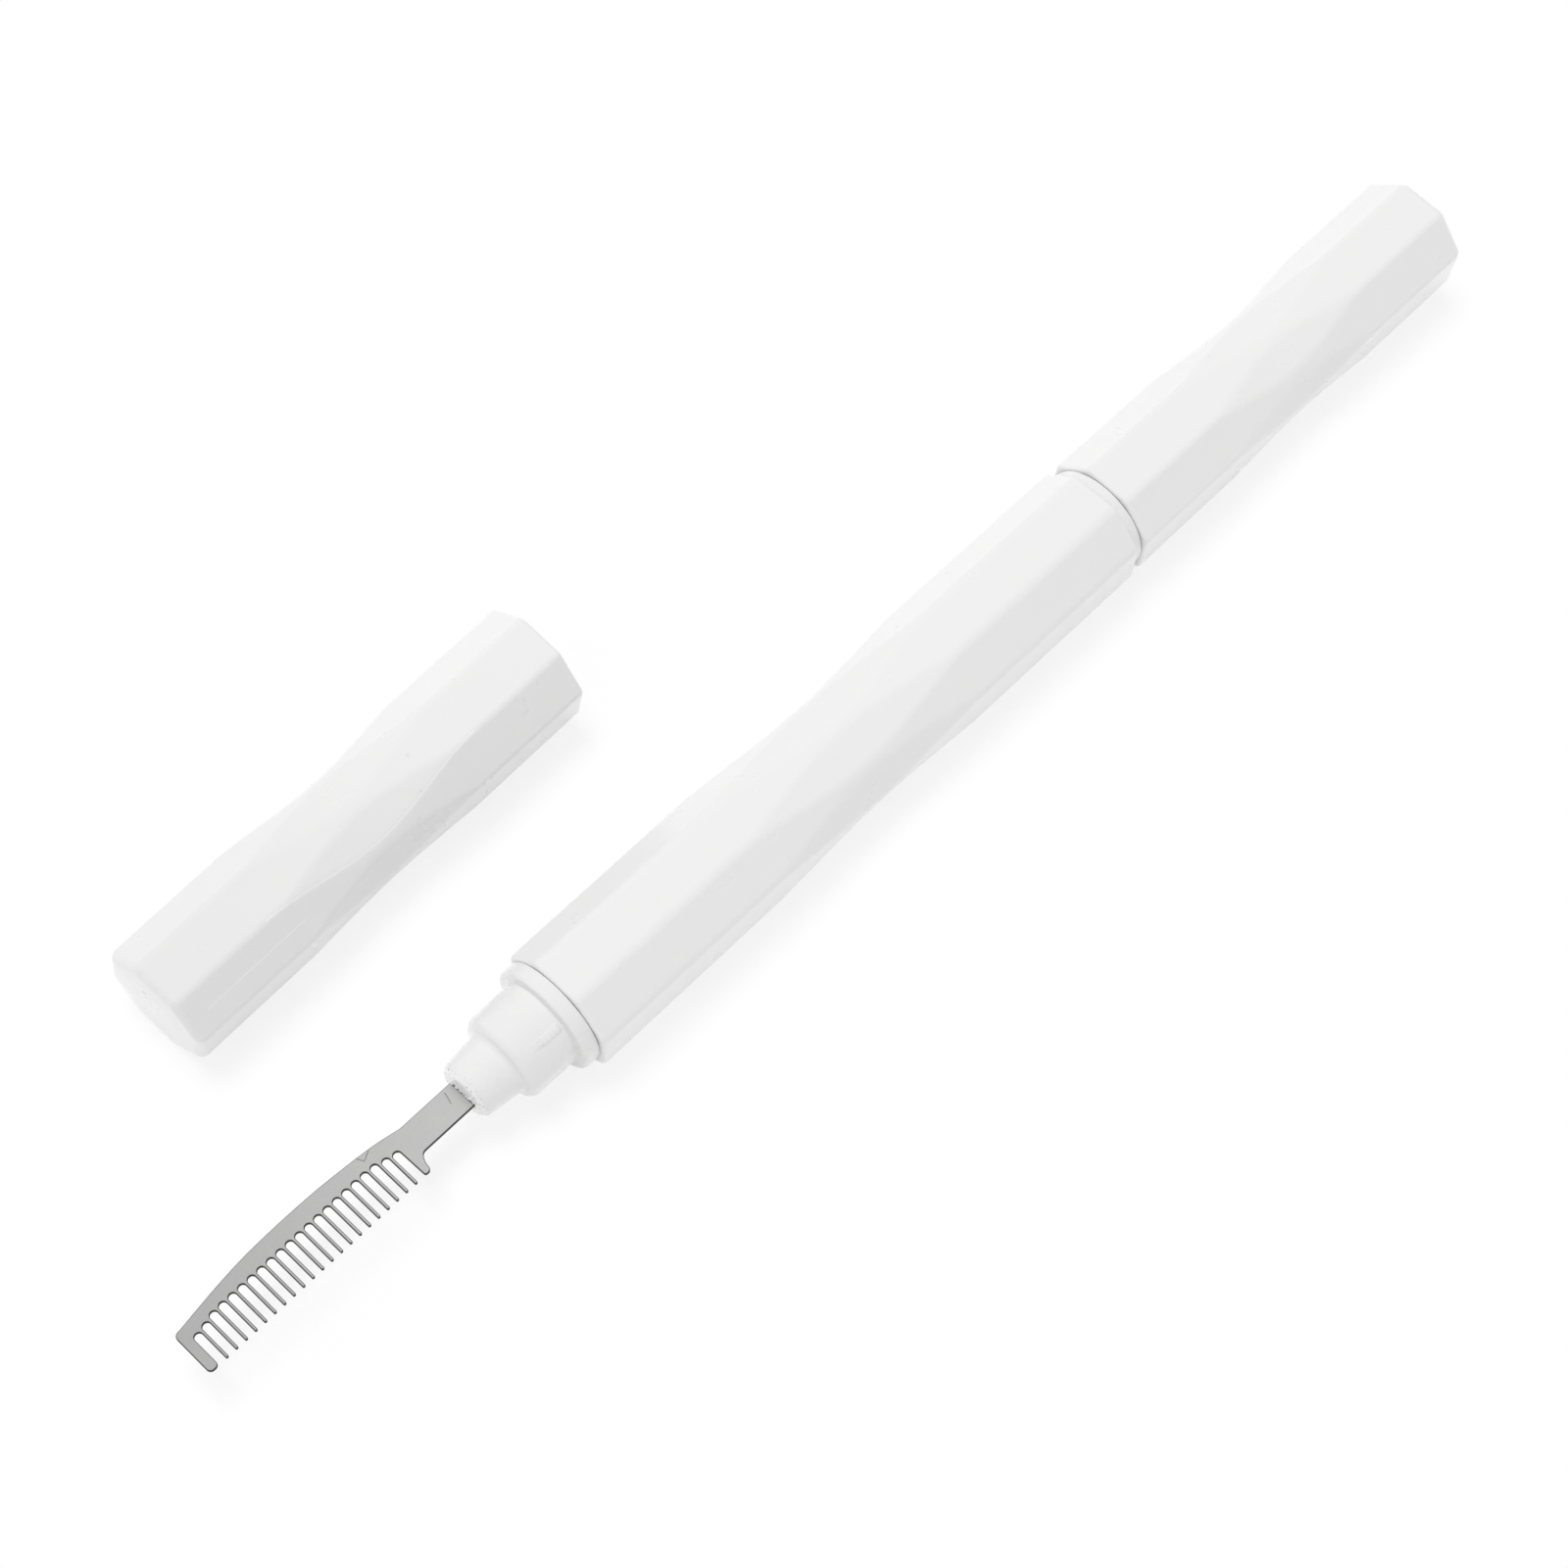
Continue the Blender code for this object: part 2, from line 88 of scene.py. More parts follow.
class Paint:
    # the node tree of a material or of the world
    def __init__(self, owner, **constants):
        owner.use_nodes = True
        self.owner = owner
        self.tree = owner.node_tree
        for socket, value in constants.items():
            self.feed(socket.replace("_", " "), value)

    def plug(self, socket, value):
        if isinstance(value, Signal):
            self.tree.links.new(value.socket, socket)
        else:
            socket.default_value = value

    def feed(self, socket, value, name="Principled BSDF"):
        # into a node that the tree begins with
        self.plug(self.tree.nodes[name].inputs[socket], value)

    def begun(self, name="Principled BSDF"):
        # what such a node gives
        return Signal(self, self.tree.nodes[name].outputs[0])

    def node(self, kind, settings, inputs, output=0):
        made = self.tree.nodes.new(kind)
        for key, value in settings.items():
            setattr(made, key, value)
        for key, value in inputs.items():
            self.plug(made.inputs[key], value)
        return Signal(self, made.outputs[output])

    def maths(self, operation, *values):
        return self.node("ShaderNodeMath", {"operation": operation}, dict(enumerate(values)))

    def vectorMaths(self, operation, *values, output=0):
        return self.node("ShaderNodeVectorMath", {"operation": operation}, dict(enumerate(values)), output)

    def dot(self, first, second):
        return self.vectorMaths("DOT_PRODUCT", first, second, output="Value")

    def distance(self, first, second):
        return self.vectorMaths("DISTANCE", first, second, output="Value")

    def stretched(self, where, scale):
        return self.vectorMaths("MULTIPLY", where, scale)

    def part(self, vector, axis):
        return self.node("ShaderNodeSeparateXYZ", {}, {"Vector": vector}, axis)

    def place(self):
        return self.node("ShaderNodeTexCoord", {}, {}, "Object")

    def turned(self, place, vector):
        # a world vector along the axes of a piece that lies as place says
        shares = [self.dot(vector, place.col[index].xyz) for index in range(3)]
        return self.node("ShaderNodeCombineXYZ", {}, dict(enumerate(shares)))

    def local(self, place):
        return self.turned(place, self.vectorMaths("SUBTRACT", self.place(), place.translation))

    def smooth(self, value, low, high):
        inputs = {"Value": value, "From Min": low, "From Max": high}
        return self.node("ShaderNodeMapRange", {"interpolation_type": "SMOOTHSTEP"}, inputs)

    def below(self, value, low, high):
        # 1 up to low, and nothing from high on
        return 1 - self.smooth(value, low, high)

    def noise(self, where, scale, detail=2.0, roughness=0.5):
        inputs = {"Vector": where, "Scale": scale, "Detail": detail, "Roughness": roughness}
        return self.node("ShaderNodeTexNoise", {}, inputs)

    def bump(self, height, distance, strength=1.0, under=None):
        inputs = {"Height": height, "Distance": distance, "Strength": strength}
        if under:
            inputs["Normal"] = under
        return self.node("ShaderNodeBump", {}, inputs)

    def colour(self, red, green, blue):
        return self.node("ShaderNodeCombineColor", {}, {"Red": red, "Green": green, "Blue": blue})


def newPaint(name, **constants):
    return Paint(bpy.data.materials.new(name), **constants)


def grey(tone):
    return (tone, tone, tone, 1)


# Where the pieces lie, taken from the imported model

penLow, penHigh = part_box("barrel")
nearEnd = Vector((penLow.x, (penLow.y + penHigh.y) / 2, (penLow.z + penHigh.z) / 2))
farEnd = Vector((penHigh.x, nearEnd.y, nearEnd.z))
lie = {
    "combShift": 0.17 * mm,    # the comb and its plug sit a little off the barrel's axis
    "brushCapGap": 1.1 * mm,
    "brushCapRoll": 3,
    "looseEnd": (-23.1 * mm, 23.4 * mm),
    "looseHeight": 5.64 * mm,
    "looseYaw": 1.72,
    "looseRoll": -8.5,
    "capLength": 44.9 * mm,
}


def turn(degrees, axis):
    return Matrix.Rotation(math.radians(degrees), 4, axis)


looseYaw = math.radians(lie["looseYaw"])
looseMouth = Vector((
    nearEnd.x + lie["looseEnd"][0] + lie["capLength"] * math.cos(looseYaw),
    nearEnd.y + lie["looseEnd"][1] + lie["capLength"] * math.sin(looseYaw),
    lie["looseHeight"],
))
combPlace = Matrix.Translation(nearEnd + Vector((0, lie["combShift"], 0))) @ turn(180, "Z")
brushPlace = Matrix.Translation(farEnd)
brushCapMouth = farEnd + Vector((lie["brushCapGap"], 0, 0))
brushCapPlace = Matrix.Translation(brushCapMouth) @ turn(lie["brushCapRoll"], "X")
looseTurn = turn(180 + lie["looseYaw"], "Z") @ turn(lie["looseRoll"], "X")
looseCapPlace = Matrix.Translation(looseMouth) @ looseTurn


# Camera, fitted to the photograph's facet edges and silhouettes

cameraLook = {
    "azimuth": -49.72,
    "elevation": 62.697,
    "tilt": 4.03,
    "aim": Vector((28.18 * mm, 1.29 * mm, 0)),   # from the middle of the barrel's near end
    "distance": 282.5 * mm,
    "lens": 76.30,
    "sensor": 36,
    "nearest": 0.01,
}


def makeCamera(look):
    azimuth = math.radians(look["azimuth"])
    elevation = math.radians(look["elevation"])
    back = Vector((math.sin(azimuth) * math.cos(elevation), -math.cos(azimuth) * math.cos(elevation),
                   math.sin(elevation)))
    data = bpy.data.cameras.new("photoCamera")
    data.lens = look["lens"]
    data.sensor_width = look["sensor"]
    data.clip_start = look["nearest"]
    camera = bpy.data.objects.new("photoCamera", data)
    scene.collection.objects.link(camera)
    spin = back.to_track_quat("Z", "Y").to_matrix().to_4x4() @ turn(look["tilt"], "Z")
    camera.matrix_world = Matrix.Translation(nearEnd + look["aim"] + back * look["distance"]) @ spin
    scene.camera = camera


makeCamera(cameraLook)
print("camera set")


# Materials

whiteLook = {
    "tone": 0.865,
    "blue": 0.998,             # the blue share of the tone
    "roughness": 0.28,
    "cloud": 0.006,            # how far the tone wanders
    "cloudScale": 70,
    "flowScale": (50, 500, 500),
    "specks": 0.10,            # how dark the dust specks are
    "speckCell": 230.0,
    "speckSize": (0.016, 0.034),
    "speckless": 0.90,         # the share of the cells that hold none
    "skin": 0.10,              # strength of the moulded skin
    "skinScale": 4200,
    "skinDepth": 0.0008 * mm,
    "sinkScale": 170,          # broad shallow sink marks
    "sinkDepth": 0.006 * mm,
    "sink": 0.3,
    "smudgeScale": 240,
    "smudge": 0.04,
    "scuffScale": (90, 2600, 2600),
    "scuffed": (0.62, 0.76),
    "scuffRough": 0.03,
    "scuffSunk": 0.3,
    "seam": 46.6,              # where the mould's parting line runs, in degrees round the axis
    "seamSpan": (2, 300),      # how far along the piece, in mm
    "seamWide": (0.015 * mm, 0.05 * mm),
    "seamDepth": 0.012 * mm,
    "seamBump": 0.7,
    "seamHighlight": 0.01,         # painted highlight: how much lighter the parting line is painted, as if its ridge caught the light
    "endShade": 0,                 # painted shade: how much darker a cap is painted towards its closed end
    "endShadeSpan": (2 * mm, 42 * mm),
    "pits": 0,                 # how dark the pits at a collar's tip are
    "pitScale": 3600,
    "pitted": (0.59, 0.65),
    "pitSpan": (9.8 * mm, 10.35 * mm),
    "tip": 0.11,               # painted light: how much lighter that tip is painted, against the shade it lies in beside the comb
    "tipLightSpan": (10.1 * mm, 10.45 * mm),
    "dust": (),                # single specks: where they lie and their size, in mm
    "dustDark": 0.06,
    "scallopLine": None,       # a scallop whose lower edge gets a painted highlight: its middle, half, depth and apothem
    "scallopWide": (0.03 * mm, 0.08 * mm),
    "scallopHighlight": 0.09,
}


def speckled(paint, where, look):
    # one speck in each of the few cells that have a high random value
    cell = {"Vector": where, "Scale": look["speckCell"]}
    near = paint.node("ShaderNodeTexVoronoi", {"feature": "F1"}, cell, "Distance")
    pick = paint.node("ShaderNodeTexVoronoi", {"feature": "F1"}, cell, "Color")
    rare = paint.node("ShaderNodeSeparateColor", {}, {"Color": pick}, "Red")
    return paint.below(near, *look["speckSize"]) * (rare > look["speckless"])


def partingLine(paint, where, along, look):
    side = math.radians(look["seam"])
    away = paint.dot(where, (0, math.cos(side), -math.sin(side)))
    onSide = paint.dot(where, (0, math.sin(side), math.cos(side))) > 0
    first, last = look["seamSpan"]
    held = (along > first * mm) * (last * mm > along) * onSide
    return paint.below(abs(away), *look["seamWide"]) * held


def scallopEdge(paint, where, along, look):
    # the mask of a painted highlight on a scallop's edge, on the flat that faces 45 degrees from up: it moves
    # inwards where the scallop is deeper
    middle, half, depth, apothem = look["scallopLine"]
    share = abs(along - middle * mm) / (half * mm)
    sunk = paint.maths("COSINE", paint.maths("MINIMUM", share, 1) * (math.pi / 2)) ** 2 * (depth * mm)
    slope = math.radians(45)
    across = paint.dot(where, (0, math.cos(slope), -math.sin(slope)))
    outward = paint.dot(where, (0, math.sin(slope), math.cos(slope)))
    edge = apothem * math.tan(halfFlat) * mm - sunk / math.cos(halfCorner)
    held = (outward > (apothem - 0.15) * mm) * (share < 0.96)
    return paint.below(abs(across + edge), *look["scallopWide"]) * held


def whitePlastic(name, look, place):
    # x runs along the piece, as its own place in the world gives it
    paint = newPaint(name, IOR=1.49, Specular_IOR_Level=0.5)
    where = paint.local(place)
    along = paint.part(where, "X")
    cloud = paint.noise(where, look["cloudScale"], 3)
    flow = paint.noise(paint.stretched(where, look["flowScale"]), 1, 2)
    tone = look["tone"] + (cloud - 0.5) * look["cloud"] * 2 + (flow - 0.5) * look["cloud"]
    tone = tone - speckled(paint, where, look) * look["specks"]
    # painted shade, darker towards the cap's closed end
    if look["endShade"]:
        tone = tone - paint.smooth(along, *look["endShadeSpan"]) * look["endShade"]
    if look["pits"]:
        crumb = paint.noise(where, look["pitScale"], 3, 0.7)
        pit = paint.smooth(crumb, *look["pitted"]) * paint.smooth(along, *look["pitSpan"])
        # painted light on the tip, against its shade beside the comb; the pits are the surface's own marks
        tone = tone + paint.smooth(along, *look["tipLightSpan"]) * look["tip"] - pit * look["pits"]
    for x, y, z, size in look["dust"]:
        away = paint.distance(where, (x * mm, y * mm, z * mm))
        tone = tone - paint.below(away, size * 0.3 * mm, size * mm) * look["dustDark"]
    seam = partingLine(paint, where, along, look)
    # the parting line's ridge is a real bump; its lighter tone is a painted highlight
    tone = tone + seam * look["seamHighlight"]
    if look["scallopLine"]:
        # a painted highlight along the scallop's lower edge
        tone = tone + scallopEdge(paint, where, along, look) * look["scallopHighlight"]
    paint.feed("Base Color", paint.colour(tone, tone, tone * look["blue"]))
    scuff = paint.noise(paint.stretched(where, look["scuffScale"]), 1, 4, 0.65)
    smudge = paint.noise(where, look["smudgeScale"], 4, 0.6)
    worn = paint.smooth(scuff, *look["scuffed"])
    rough = look["roughness"] + (smudge - 0.5) * look["smudge"] + worn * look["scuffRough"]
    paint.feed("Roughness", rough)
    sink = paint.bump(paint.noise(where, look["sinkScale"], 1), look["sinkDepth"], look["sink"])
    fine = paint.noise(where, look["skinScale"], 2) - worn * look["scuffSunk"]
    grain = paint.bump(fine, look["skinDepth"], look["skin"], sink)
    paint.feed("Normal", paint.bump(seam, look["seamDepth"], look["seamBump"], grain))
    return paint


steelLook = {
    "face": 0.70,
    "farShade": 0.19,              # painted shade: how much darker the face is painted towards the comb's far end
    "farShadeSpan": (11 * mm, 38 * mm),
    "faceTurn": (0.93, 0.99),  # from where the rounded edge counts as a wall
    "side": 0.17,              # painted shade: the tone of the cut walls that face along the comb
    "under": 0.11,             # and darker still for those that face the way the teeth point
    "roughness": 0.36,
    "blue": 0.995,
    "etchScale": 3800,
    "etch": 0.09,
    "etchRough": 0.10,
    "etchDepth": 0.004 * mm,
    "etchBump": 0.6,
    "mottleScale": 420,
    "mottle": 0.06,
    "brushScale": (240, 9000, 1),
    "brushed": 0.04,
    "brushRough": 0.06,
    "brushDepth": 0.0015 * mm,
    "brushBump": 0.5,
    "wallEtch": 0.08,
    "wallRough": 0.5,
    "wallTurn": (0.05, 0.75),  # from the tone of the side to that of the under
    "slotShadowSpan": (10.54 * mm, 10.63 * mm),    # painted shadow: where the nose's slot darkens the plate beside it
    "slotShadow": 0.45,
    # painted shade on the plate near the nose
    "rootShadeSpan": (10.6 * mm, 11.4 * mm),
    "rootShade": 0.04,
    "scratchWide": (0.02 * mm, 0.07 * mm),
    "scratchDark": 0.34,
    "scratchSunk": 1.5,
    "scratches": (
        ((11.5, -1.08), (11.5, -0.9)),
        ((11.5, -0.9), (11.62, -0.44)),
        ((11.62, -0.44), (11.74, -0.05)),
        ((19.15, -1.8), (20.0, -1.36)),
        ((20.0, -1.36), (20.27, -1.91)),
    ),
}


def scratchLines(paint, flat, look):
    # short strokes, each between two points given in mm
    line = None
    for start, end in look["scratches"]:
        first = Vector((*start, 0)) * mm
        span = Vector((*end, 0)) * mm - first
        offset = paint.vectorMaths("SUBTRACT", flat, first)
        held = paint.node("ShaderNodeClamp", {}, {"Value": paint.dot(offset, span / span.length_squared)})
        near = paint.node("ShaderNodeVectorMath", {"operation": "SCALE"}, {0: span, "Scale": held})
        mark = paint.below(paint.distance(offset, near), *look["scratchWide"])
        line = paint.maths("MAXIMUM", line, mark) if line else mark
    return line


def etchedSteel(name, look, place):
    # x runs out along the comb and y towards the tips of its teeth
    paint = newPaint(name, Metallic=1.0)
    where = paint.local(place)
    flat = paint.stretched(where, (1, 1, 0))
    along = paint.part(where, "X")
    toTips = paint.part(paint.turned(place, paint.node("ShaderNodeNewGeometry", {}, {}, "Normal")), "Y")
    facet = paint.part(paint.node("ShaderNodeNewGeometry", {}, {}, "True Normal"), "Z")
    face = paint.smooth(abs(facet), *look["faceTurn"])
    etch = paint.noise(where, look["etchScale"], 4, 0.7)
    mottle = paint.noise(where, look["mottleScale"], 3, 0.6)
    brushed = paint.noise(paint.stretched(flat, look["brushScale"]), 1, 3, 0.7)
    line = scratchLines(paint, flat, look)
    # painted shade on the face, growing towards the comb's far end
    low, high = look["farShadeSpan"]
    farShade = paint.node("ShaderNodeMapRange", {}, {"Value": along, "From Min": low, "From Max": high})
    # painted shadow along the nose's slot
    slot = paint.below(along, *look["slotShadowSpan"]) * look["slotShadow"]
    # painted shade on the plate near the nose
    root = paint.below(along, *look["rootShadeSpan"]) * look["rootShade"]
    grain = (etch - 0.5) * look["etch"] + (mottle - 0.5) * look["mottle"]
    grain = grain + (brushed - 0.5) * look["brushed"]
    faceTone = (look["face"] + grain - line * look["scratchDark"] - slot - root) * (1 - farShade * look["farShade"])
    # the cut walls and rounded edges are painted dark as shade, darker where they face the teeth's tips
    tipwardWallShade = paint.smooth(toTips, *look["wallTurn"]) * (look["side"] - look["under"])
    wallShadeTone = look["side"] - tipwardWallShade + (etch - 0.5) * look["wallEtch"]
    tone = face * faceTone + (1 - face) * wallShadeTone
    paint.feed("Base Color", paint.colour(tone, tone, tone * look["blue"]))
    rough = (etch - 0.5) * look["etchRough"] + (brushed - 0.5) * look["brushRough"]
    paint.feed("Roughness", look["roughness"] + rough + (1 - face) * look["wallRough"])
    strokes = paint.bump(brushed, look["brushDepth"], look["brushBump"])
    height = etch - line * look["scratchSunk"]
    paint.feed("Normal", paint.bump(height, look["etchDepth"], look["etchBump"], strokes))
    return paint


wireLook = {
    "tone": 0.62,
    "blue": 1.01,
    "roughness": 0.26,
    "dieScale": (300, 9000, 9000),
    "die": 0.10,               # streaks that the drawing die leaves
    "dieRough": 0.2,
    "dieDepth": 0.003 * mm,
    "dieBump": 0.5,
    "dullScale": 900,
    "dull": 0.18,
}


def drawnWire(name, look):
    paint = newPaint(name, Metallic=1.0)
    where = paint.place()
    die = paint.noise(paint.stretched(where, look["dieScale"]), 1, 3, 0.6)
    dull = paint.noise(where, look["dullScale"], 3, 0.6)
    tone = look["tone"] + (dull - 0.5) * look["dull"] + (die - 0.5) * look["die"]
    paint.feed("Base Color", paint.colour(tone, tone, tone * look["blue"]))
    paint.feed("Roughness", look["roughness"] + (die - 0.5) * look["dieRough"])
    paint.feed("Normal", paint.bump(die, look["dieDepth"], look["dieBump"]))
    return paint


nylonLook = {
    "tone": 0.018,
    "green": 0.99,
    "blue": 1.04,
    "roughness": 0.34,
    "strandScale": 1500,
    "strand": 0.022,
    "fineScale": 9000,
    "fineRough": 0.2,
    "fineDepth": 0.004 * mm,
    "fineBump": 0.4,
}


def blackNylon(name, look):
    paint = newPaint(name, IOR=1.53)
    where = paint.place()
    strand = paint.noise(where, look["strandScale"], 2)
    fine = paint.noise(where, look["fineScale"], 2)
    tone = look["tone"] + strand * look["strand"]
    paint.feed("Base Color", paint.colour(tone, tone * look["green"], tone * look["blue"]))
    paint.feed("Roughness", look["roughness"] + (fine - 0.5) * look["fineRough"])
    paint.feed("Normal", paint.bump(fine, look["fineDepth"], look["fineBump"]))
    return paint


looseLook = {
    "tone": 0.864,
    "seamSpan": (31.5, 42.5),
    "seamHighlight": 0.16,
    "endShade": 0.045,
    "dust": ((4.78, -2.74, 4.92, 0.24), (15.93, -0.1, 5.41, 0.3), (8.25, -2.32, 5.34, 0.2)),
    "scallopLine": (22.375, 12.5, 0.64, 5.414),
}
barrelPlace = Matrix.Translation(nearEnd)
barrelWhite = whitePlastic("barrelPlastic", {**whiteLook, "seam": 67.0}, barrelPlace)
brushCapWhite = whitePlastic("brushCapPlastic", whiteLook, brushCapPlace)
looseCapWhite = whitePlastic("looseCapPlastic", {**whiteLook, **looseLook}, looseCapPlace)
collarLook = {**whiteLook, "tone": 0.845, "roughness": 0.27, "skin": 0.08, "seam": 100, "pits": 0.5}
combCollarWhite = whitePlastic("combCollarPlastic", collarLook, combPlace)
brushCollarWhite = whitePlastic("brushCollarPlastic", {**collarLook, "pits": 0}, brushPlace)
combSteel = etchedSteel("combSteel", steelLook, combPlace)
stemWire = drawnWire("stemWire", wireLook)
brushNylon = blackNylon("brushNylon", nylonLook)
print("materials made")


# Mesh helpers

def ringEdges(bm, x, radius):
    # the edges that lie round the axis at x and at that radius
    found = []
    for edge in bm.edges:
        ends = [vert.co for vert in edge.verts]
        level = all(abs(co.x - x) <= 0.002 * mm for co in ends)
        if level and all(abs(math.hypot(co.y, co.z) - radius) < 0.004 * mm for co in ends):
            found.append(edge)
    return found


def soften(bm, edges, offset, segments):
    bmesh.ops.bevel(bm, geom=edges, offset=offset, offset_type="OFFSET", segments=segments, profile=0.5,
                    affect="EDGES", material=-1, clamp_overlap=False, loop_slide=True)


def finishPiece(bm, name, body, node, place, paint, sharp=50):
    bmesh.ops.remove_doubles(bm, verts=bm.verts, dist=0.0002 * mm)
    bmesh.ops.recalc_face_normals(bm, faces=bm.faces)
    bmesh.ops.transform(bm, matrix=place, verts=bm.verts)
    mesh = bpy.data.meshes.new(name)
    bm.to_mesh(mesh)
    bm.free()
    mesh.shade_smooth()
    mesh.set_sharp_from_angle(angle=math.radians(sharp))
    mesh.materials.append(paint.owner)
    piece = bpy.data.objects.new(name, mesh)
    scene.collection.objects.link(piece)
    flatShade = piece.modifiers.new("flatsStayFlat", "WEIGHTED_NORMAL")
    flatShade.keep_sharp = True
    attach(piece, body)
    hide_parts(node)
    print(name, len(mesh.polygons), "faces")
    return piece


# Octagonal barrel and caps

barrelShape = {
    "radius": 6.0 * mm,        # to the corners
    "length": 66.0 * mm,
    "edge": 0.12 * mm,         # taken off each corner all along
    "depth": 0.72 * mm,        # and in the middle of the scallop
    "half": 16.5 * mm,
    "steps": 48,
    "soft": 0.34 * mm,
    "rim": 0.3 * mm,
    "rimSteps": 5,
    "bore": 4.5 * mm,
    "boreDepth": 9.4 * mm,
    "chamfer": 0.1 * mm,
    "rootRound": 0.2 * mm,
}
capShape = {
    "radius": 5.86 * mm,
    "length": lie["capLength"],
    "edge": 0.08 * mm,
    "depth": 0.64 * mm,
    "half": 12.5 * mm,
    "steps": 40,
    "soft": 0.40 * mm,
    "rim": 0.3 * mm,
    "rimSteps": 4,
    "endRim": 0.85 * mm,
    "endSteps": 8,
    "dome": 0.15 * mm,
    "crown": (0.80, 0.70, 0.55, 0.30),    # how far each ring on the dome draws in
    "bore": 4.5 * mm,
    "chamfer": 0.25 * mm,
    "wall": 1.6 * mm,
    "rootRound": 0.5 * mm,
}


def sectionRing(bm, shape, x, depth):
    # eight flats whose corners are cut off by depth, and then softened: returns the ring's edges
    slide = depth / math.cos(halfCorner)
    facet = 2 * depth * math.tan(halfCorner)
    made = bmesh.ops.create_circle(bm, cap_ends=True, segments=8, radius=shape["radius"])["verts"]
    upright = Matrix.Translation((x, 0, 0)) @ turn(90, "Y") @ turn(22.5, "Z")
    bmesh.ops.transform(bm, matrix=upright, verts=made)
    for offset, segments in ((slide, 1), (min(shape["soft"], facet * 0.4), 3)):
        made = bmesh.ops.bevel(bm, geom=made, offset=offset, offset_type="OFFSET", segments=segments,
                               profile=0.5, affect="VERTICES", material=-1)["verts"]
    face = made[0].link_faces[0]
    edges = list(face.edges)
    bmesh.ops.delete(bm, geom=[face], context="FACES_ONLY")
    return edges


def grow(bm, edges, shift, shrink):
    # one more ring beyond this one, moved along x by shift and drawn towards the axis by shrink
    made = bmesh.ops.extrude_edge_only(bm, edges=edges)["geom"]
    verts = [item for item in made if isinstance(item, bmesh.types.BMVert)]
    bmesh.ops.scale(bm, vec=(1, shrink, shrink), verts=verts)
    bmesh.ops.translate(bm, vec=(shift, 0, 0), verts=verts)
    grown = set(verts)
    return [item for item in made if isinstance(item, bmesh.types.BMEdge) and set(item.verts) <= grown]


def octagonBar(shape, start, end):
    # the straight and scalloped walls between start and end, open at both
    bm = bmesh.new()
    middle = (shape["length"] - shape.get("dome", 0)) / 2
    steps = shape["steps"]
    stations = [middle + shape["half"] * (2 * step / steps - 1) for step in range(steps + 1)]
    rings = []
    for x in [start] + stations + [end]:
        share = min(abs(x - middle) / shape["half"], 1)
        sunk = shape["depth"] * math.cos(share * math.pi / 2) ** 2
        rings.append(sectionRing(bm, shape, x, max(shape["edge"], sunk)))
    for pair in zip(rings, rings[1:]):
        bmesh.ops.bridge_loops(bm, edges=pair[0] + pair[1])
    return bm, rings[0], rings[-1]


def roundOver(bm, edges, shape, radius, outward, steps):
    # a quarter-round rim, growing outwards along x from the ring of edges
    apothem = shape["radius"] * math.cos(halfFlat)
    along, inset = 0, 0
    for step in range(1, steps + 1):
        angle = math.pi / 2 * step / steps
        nextAlong, nextInset = radius * math.sin(angle), radius * (1 - math.cos(angle))
        edges = grow(bm, edges, outward * (nextAlong - along), (apothem - nextInset) / (apothem - inset))
        along, inset = nextAlong, nextInset
    return edges


def openEnd(bm, edges, x, inward, shape, depth):
    # a round hole into the rim's last ring of edges
    bore, lead, root = shape["bore"], shape["chamfer"], shape["rootRound"]
    ring = bmesh.ops.create_circle(bm, cap_ends=False, segments=64, radius=bore + lead)["verts"]
    bmesh.ops.transform(bm, matrix=Matrix.Translation((x, 0, 0)) @ turn(90, "Y"), verts=ring)
    inner = list(dict.fromkeys(edge for vert in ring for edge in vert.link_edges))
    # filled with triangles, since a bridge between two rings in one plane can cross the hole
    bmesh.ops.triangle_fill(bm, edges=edges + inner, use_beauty=True, normal=(1, 0, 0))
    inner = grow(bm, inner, inward * lead, bore / (bore + lead))
    inner = grow(bm, inner, inward * (depth - lead - root), 1)
    rootSteps = 4
    for step in range(rootSteps):        # a small round at the bottom of the hole
        before, angle = math.pi / 2 * step / rootSteps, math.pi / 2 * (step + 1) / rootSteps
        drawn = (bore - root * (1 - math.cos(angle))) / (bore - root * (1 - math.cos(before)))
        inner = grow(bm, inner, inward * root * (math.sin(angle) - math.sin(before)), drawn)
    bmesh.ops.contextual_create(bm, geom=inner)


def makeBarrel(shape):
    bm, near, far = octagonBar(shape, shape["rim"], shape["length"] - shape["rim"])
    for edges, x, inward in ((near, 0, 1), (far, shape["length"], -1)):
        rim = roundOver(bm, edges, shape, shape["rim"], -inward, shape["rimSteps"])
        openEnd(bm, rim, x, inward, shape, shape["boreDepth"])
    finishPiece(bm, "barrelShell", "handle", "barrel", barrelPlace, barrelWhite)


def makeCap(name, body, node, shape, place, paint):
    flatLength = shape["length"] - shape["dome"]
    bm, near, far = octagonBar(shape, shape["rim"], flatLength - shape["endRim"])
    crown = roundOver(bm, far, shape, shape["endRim"], 1, shape["endSteps"])
    swell = math.pi / 2 / len(shape["crown"])
    for step, drawn in enumerate(shape["crown"]):        # the closed end swells a little
        height = shape["dome"] * (math.sin(swell * (step + 1)) - math.sin(swell * step))
        crown = grow(bm, crown, height, drawn)
    bmesh.ops.contextual_create(bm, geom=crown)
    rim = roundOver(bm, near, shape, shape["rim"], -1, shape["rimSteps"])
    openEnd(bm, rim, 0, 1, shape, shape["length"] - shape["wall"])
    finishPiece(bm, name, body, node, place, paint)


makeBarrel(barrelShape)
makeCap("brushCapShell", "brush_cap", "brush_cap", capShape, brushCapPlace, brushCapWhite)
makeCap("combCapShell", "comb_cap", "comb_cap", capShape, looseCapPlace, looseCapWhite)
print("barrel and caps made")


# Collars: x runs outwards from the barrel's end face

